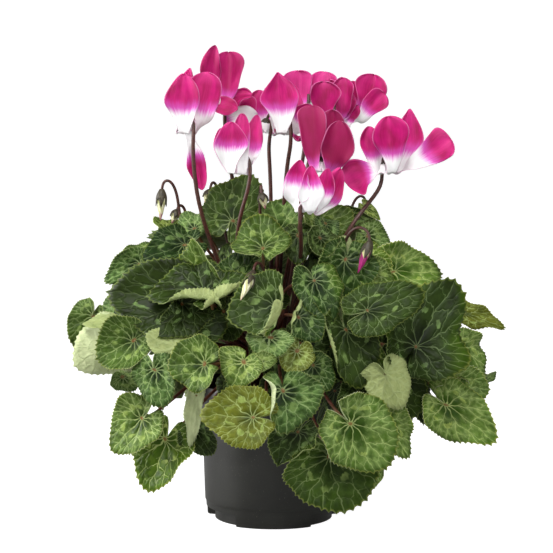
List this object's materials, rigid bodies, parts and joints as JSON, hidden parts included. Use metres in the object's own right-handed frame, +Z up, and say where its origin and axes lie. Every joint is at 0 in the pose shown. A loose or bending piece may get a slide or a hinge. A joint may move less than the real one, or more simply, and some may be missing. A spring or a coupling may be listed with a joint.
{
  "type": "potted cyclamen",
  "caption": "Cyclamen plant with marbled heart-shaped leaves, two-tone reflexed flowers and hanging buds, in a tapered round grow pot.",
  "frame": {"origin": "the middle of the pot's underside, on the surface that it stands on", "axes": "+Z up; -Y is the plant's best side, which the flowers and the largest leaves face; +X is to the right when it is seen from there"},
  "size_m": [0.3172, 0.2986, 0.3656],
  "materials": {
    "pot_plastic": "satin black moulded plastic",
    "peat": null,
    "corm_skin": "dull corky brown skin",
    "leaf_green": "waxy marbled leaf with a silver-green pattern",
    "petal_magenta": "satin petal, magenta over a white base",
    "stalk_brown": "smooth dark red-brown stalk"
  },
  "bodies": {
    "root": {"pot": "pot_plastic", "potting_mix": "peat", "corm": "corm_skin", "leaf_01": "leaf_green", "leaf_02": "leaf_green", "leaf_03": "leaf_green", "leaf_04": "leaf_green", "leaf_05": "leaf_green", "leaf_06": "leaf_green", "leaf_07": "leaf_green", "leaf_08": "leaf_green", "leaf_09": "leaf_green", "leaf_10": "leaf_green", "leaf_11": "leaf_green", "leaf_12": "leaf_green", "leaf_13": "leaf_green", "leaf_14": "leaf_green", "leaf_15": "leaf_green", "leaf_16": "leaf_green", "leaf_17": "leaf_green", "leaf_18": "leaf_green", "leaf_19": "leaf_green", "leaf_20": "leaf_green", "leaf_21": "leaf_green", "leaf_22": "leaf_green", "leaf_23": "leaf_green", "leaf_24": "leaf_green", "leaf_25": "leaf_green", "leaf_26": "leaf_green", "leaf_27": "leaf_green", "leaf_28": "leaf_green", "flower_stalk_01": "stalk_brown", "corolla_01": "petal_magenta", "flower_stalk_02": "stalk_brown", "corolla_02": "petal_magenta", "flower_stalk_03": "stalk_brown", "corolla_03": "petal_magenta", "flower_stalk_04": "stalk_brown", "corolla_04": "petal_magenta", "flower_stalk_05": "stalk_brown", "corolla_05": "petal_magenta", "flower_stalk_06": "stalk_brown", "corolla_06": "petal_magenta", "flower_stalk_07": "stalk_brown", "corolla_07": "petal_magenta", "flower_stalk_08": "stalk_brown", "corolla_08": "petal_magenta", "flower_stalk_09": "stalk_brown", "corolla_09": "petal_magenta", "flower_stalk_10": "stalk_brown", "corolla_10": "petal_magenta", "flower_stalk_11": "stalk_brown", "corolla_11": "petal_magenta", "bud_01": "stalk_brown", "bud_02": "stalk_brown", "bud_03": "stalk_brown", "bud_04": "stalk_brown", "bud_05": "stalk_brown", "bud_06": "stalk_brown", "bud_07": "stalk_brown"}
  },
  "joints": []
}
